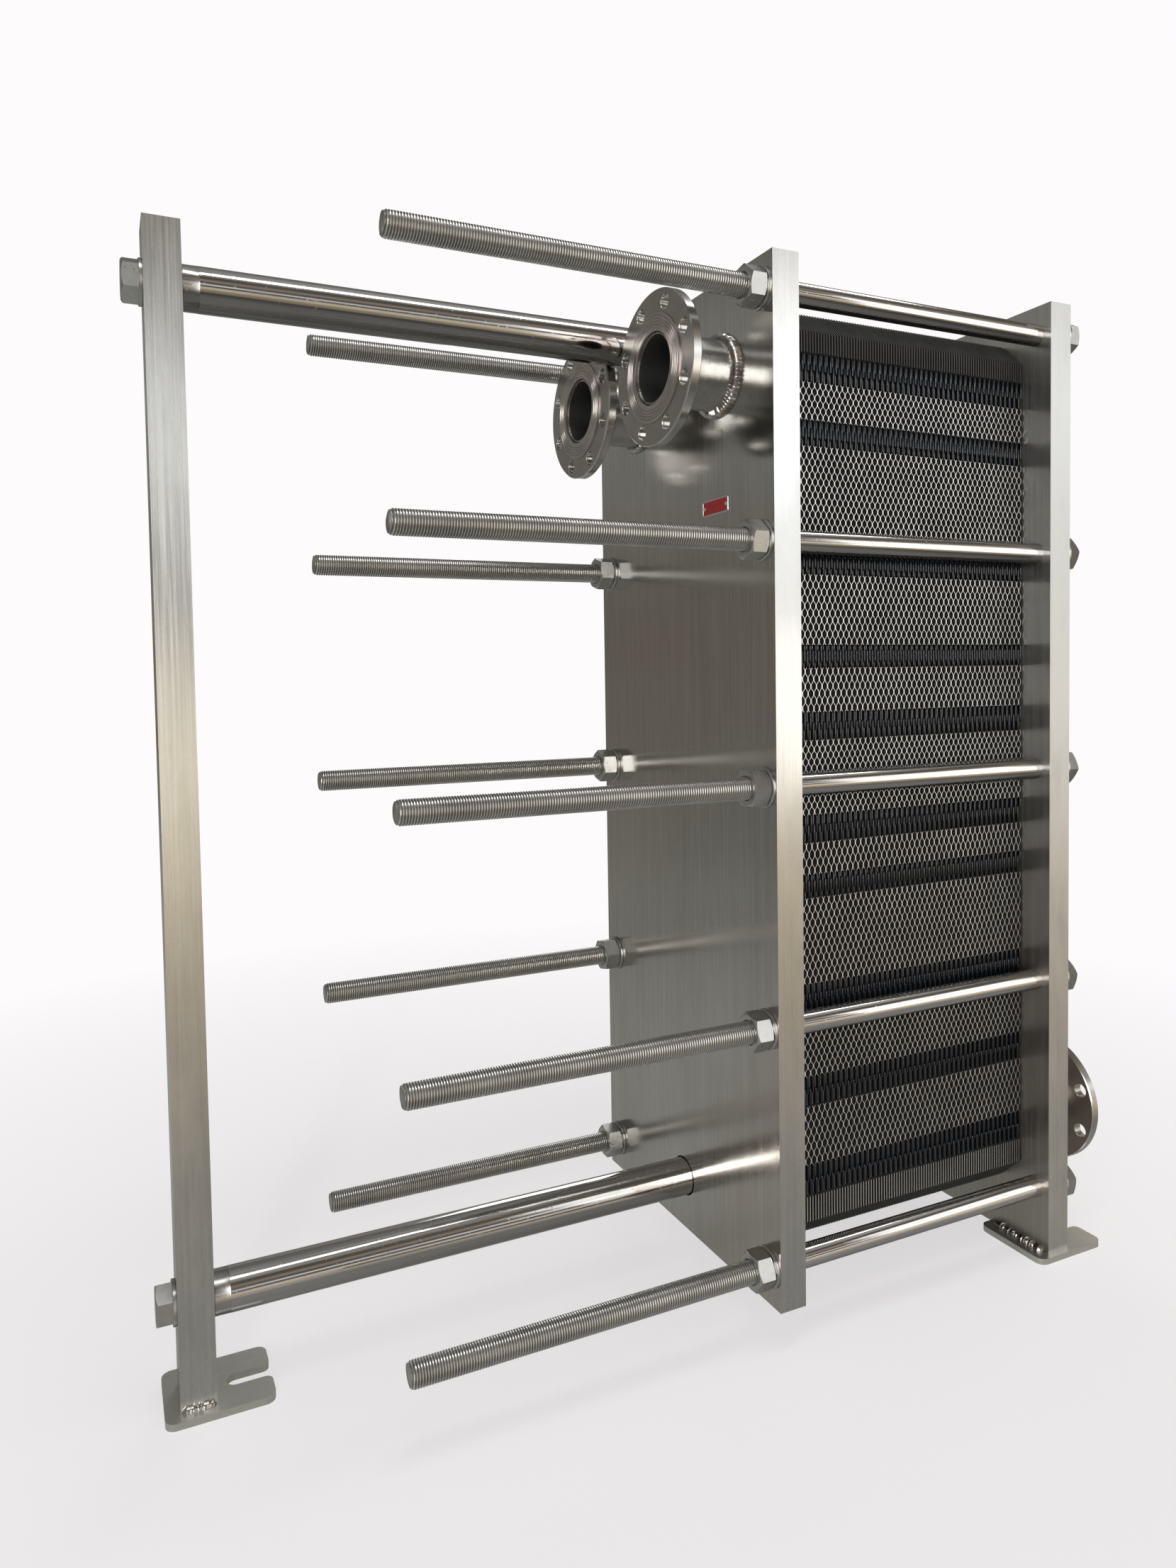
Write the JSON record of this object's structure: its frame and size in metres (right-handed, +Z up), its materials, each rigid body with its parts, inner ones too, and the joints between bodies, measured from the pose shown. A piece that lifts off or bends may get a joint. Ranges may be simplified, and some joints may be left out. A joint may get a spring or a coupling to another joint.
{
  "type": "plate heat exchanger",
  "caption": "Gasketed heat exchanger: a pack of thin plates on two bars, clamped by tie bolts between a fixed frame plate and a sliding pressure plate with flanged nozzles.",
  "frame": {"origin": "on the floor, in the middle of the overall footprint", "axes": "+X along the bars from the end column to the fixed frame plate, +Y to the back, +Z up"},
  "size_m": [1.2302, 0.444, 1.275],
  "materials": {
    "brushed_plate_steel": "stainless plate with a coarse vertical brushed grain",
    "polished_steel": "polished stainless bar, bright and mirror-like",
    "machined_steel": "turned stainless with fine tool marks",
    "mill_steel": "grey mill-finish stainless",
    "weld_steel": "rippled weld bead, slightly darker than the plate",
    "heat_plate_steel": "thin pressed stainless sheet with bright sheared edges",
    "gasket_rubber": "glossy black moulded rubber",
    "nameplate_enamel": "red enamel field with a bare silver border, no text"
  },
  "bodies": {
    "frame": {"fixed_plate": "brushed_plate_steel", "fixed_feet": "mill_steel", "foot_welds": "weld_steel", "column": "brushed_plate_steel", "column_foot": "mill_steel", "column_bolts": "machined_steel", "column_washers": "machined_steel", "carrying_bar": "polished_steel", "guide_bar": "polished_steel", "bar_end_bolts": "machined_steel", "bar_end_washers": "machined_steel", "tie_bolts": "polished_steel", "tie_bolt_washers": "machined_steel", "fixed_pipe_near": "mill_steel", "fixed_pipe_far": "mill_steel", "fixed_flange_near": "machined_steel", "fixed_flange_far": "machined_steel", "fixed_welds": "weld_steel"},
    "pressure_plate": {"pressure_plate": "brushed_plate_steel", "pressure_pipe_near": "mill_steel", "pressure_pipe_far": "mill_steel", "pressure_flange_near": "machined_steel", "pressure_flange_far": "machined_steel", "pressure_welds": "weld_steel", "nut_washers": "machined_steel", "nameplate": "nameplate_enamel", "nameplate_rivets": "machined_steel"},
    "packet_1": {"heat_plates_1": "heat_plate_steel", "gaskets_1": "gasket_rubber"},
    "packet_2": {"heat_plates_2": "heat_plate_steel", "gaskets_2": "gasket_rubber"},
    "packet_3": {"heat_plates_3": "heat_plate_steel", "gaskets_3": "gasket_rubber"},
    "packet_4": {"heat_plates_4": "heat_plate_steel", "gaskets_4": "gasket_rubber"},
    "packet_5": {"heat_plates_5": "heat_plate_steel", "gaskets_5": "gasket_rubber"},
    "packet_6": {"heat_plates_6": "heat_plate_steel", "gaskets_6": "gasket_rubber"},
    "packet_7": {"heat_plates_7": "heat_plate_steel", "gaskets_7": "gasket_rubber"},
    "packet_8": {"heat_plates_8": "heat_plate_steel", "gaskets_8": "gasket_rubber"},
    "nut_near_1": {"nut_near_1": "machined_steel"},
    "nut_near_2": {"nut_near_2": "machined_steel"},
    "nut_near_3": {"nut_near_3": "machined_steel"},
    "nut_near_4": {"nut_near_4": "machined_steel"},
    "nut_near_5": {"nut_near_5": "machined_steel"},
    "nut_far_1": {"nut_far_1": "machined_steel"},
    "nut_far_2": {"nut_far_2": "machined_steel"},
    "nut_far_3": {"nut_far_3": "machined_steel"},
    "nut_far_4": {"nut_far_4": "machined_steel"},
    "nut_far_5": {"nut_far_5": "machined_steel"}
  },
  "joints": [
    {"name": "pressure_plate_slide", "type": "slide", "parent": "frame", "child": "pressure_plate", "axis": [-1, 0, 0], "range_m": [0, 0.4]},
    {"name": "packet_1_slide", "type": "slide", "parent": "frame", "child": "packet_1", "axis": [-1, 0, 0], "range_m": [0, 0.3557]},
    {"name": "packet_2_slide", "type": "slide", "parent": "frame", "child": "packet_2", "axis": [-1, 0, 0], "range_m": [0, 0.3112]},
    {"name": "packet_3_slide", "type": "slide", "parent": "frame", "child": "packet_3", "axis": [-1, 0, 0], "range_m": [0, 0.2668]},
    {"name": "packet_4_slide", "type": "slide", "parent": "frame", "child": "packet_4", "axis": [-1, 0, 0], "range_m": [0, 0.2223]},
    {"name": "packet_5_slide", "type": "slide", "parent": "frame", "child": "packet_5", "axis": [-1, 0, 0], "range_m": [0, 0.1779]},
    {"name": "packet_6_slide", "type": "slide", "parent": "frame", "child": "packet_6", "axis": [-1, 0, 0], "range_m": [0, 0.1334]},
    {"name": "packet_7_slide", "type": "slide", "parent": "frame", "child": "packet_7", "axis": [-1, 0, 0], "range_m": [0, 0.089]},
    {"name": "packet_8_slide", "type": "slide", "parent": "frame", "child": "packet_8", "axis": [-1, 0, 0], "range_m": [0, 0.0445]},
    {"name": "nut_near_1_turn", "type": "hinge", "parent": "pressure_plate", "child": "nut_near_1", "pos_m": [0.0359, -0.191, 1.231], "axis": [-1, 0, 0], "range_deg": [0, 48001]},
    {"name": "nut_near_2_turn", "type": "hinge", "parent": "pressure_plate", "child": "nut_near_2", "pos_m": [0.0359, -0.191, 0.946], "axis": [-1, 0, 0], "range_deg": [0, 48001]},
    {"name": "nut_near_3_turn", "type": "hinge", "parent": "pressure_plate", "child": "nut_near_3", "pos_m": [0.0359, -0.191, 0.661], "axis": [-1, 0, 0], "range_deg": [0, 48001]},
    {"name": "nut_near_4_turn", "type": "hinge", "parent": "pressure_plate", "child": "nut_near_4", "pos_m": [0.0359, -0.191, 0.376], "axis": [-1, 0, 0], "range_deg": [0, 48001]},
    {"name": "nut_near_5_turn", "type": "hinge", "parent": "pressure_plate", "child": "nut_near_5", "pos_m": [0.0359, -0.191, 0.091], "axis": [-1, 0, 0], "range_deg": [0, 48001]},
    {"name": "nut_far_1_turn", "type": "hinge", "parent": "pressure_plate", "child": "nut_far_1", "pos_m": [0.0359, 0.191, 1.231], "axis": [-1, 0, 0], "range_deg": [0, 48001]},
    {"name": "nut_far_2_turn", "type": "hinge", "parent": "pressure_plate", "child": "nut_far_2", "pos_m": [0.0359, 0.191, 0.946], "axis": [-1, 0, 0], "range_deg": [0, 48001]},
    {"name": "nut_far_3_turn", "type": "hinge", "parent": "pressure_plate", "child": "nut_far_3", "pos_m": [0.0359, 0.191, 0.661], "axis": [-1, 0, 0], "range_deg": [0, 48001]},
    {"name": "nut_far_4_turn", "type": "hinge", "parent": "pressure_plate", "child": "nut_far_4", "pos_m": [0.0359, 0.191, 0.376], "axis": [-1, 0, 0], "range_deg": [0, 48001]},
    {"name": "nut_far_5_turn", "type": "hinge", "parent": "pressure_plate", "child": "nut_far_5", "pos_m": [0.0359, 0.191, 0.091], "axis": [-1, 0, 0], "range_deg": [0, 48001]}
  ],
  "couplings": [
    {"joint": "packet_1_slide", "follows": "pressure_plate_slide", "ratio": 0.88889},
    {"joint": "packet_2_slide", "follows": "pressure_plate_slide", "ratio": 0.77778},
    {"joint": "packet_3_slide", "follows": "pressure_plate_slide", "ratio": 0.66667},
    {"joint": "packet_4_slide", "follows": "pressure_plate_slide", "ratio": 0.55556},
    {"joint": "packet_5_slide", "follows": "pressure_plate_slide", "ratio": 0.44444},
    {"joint": "packet_6_slide", "follows": "pressure_plate_slide", "ratio": 0.33333},
    {"joint": "packet_7_slide", "follows": "pressure_plate_slide", "ratio": 0.22222},
    {"joint": "packet_8_slide", "follows": "pressure_plate_slide", "ratio": 0.11111},
    {"joint": "nut_near_1_turn", "follows": "pressure_plate_slide", "rad_per_m": 2094.4},
    {"joint": "nut_near_2_turn", "follows": "pressure_plate_slide", "rad_per_m": 2094.4},
    {"joint": "nut_near_3_turn", "follows": "pressure_plate_slide", "rad_per_m": 2094.4},
    {"joint": "nut_near_4_turn", "follows": "pressure_plate_slide", "rad_per_m": 2094.4},
    {"joint": "nut_near_5_turn", "follows": "pressure_plate_slide", "rad_per_m": 2094.4},
    {"joint": "nut_far_1_turn", "follows": "pressure_plate_slide", "rad_per_m": 2094.4},
    {"joint": "nut_far_2_turn", "follows": "pressure_plate_slide", "rad_per_m": 2094.4},
    {"joint": "nut_far_3_turn", "follows": "pressure_plate_slide", "rad_per_m": 2094.4},
    {"joint": "nut_far_4_turn", "follows": "pressure_plate_slide", "rad_per_m": 2094.4},
    {"joint": "nut_far_5_turn", "follows": "pressure_plate_slide", "rad_per_m": 2094.4}
  ]
}
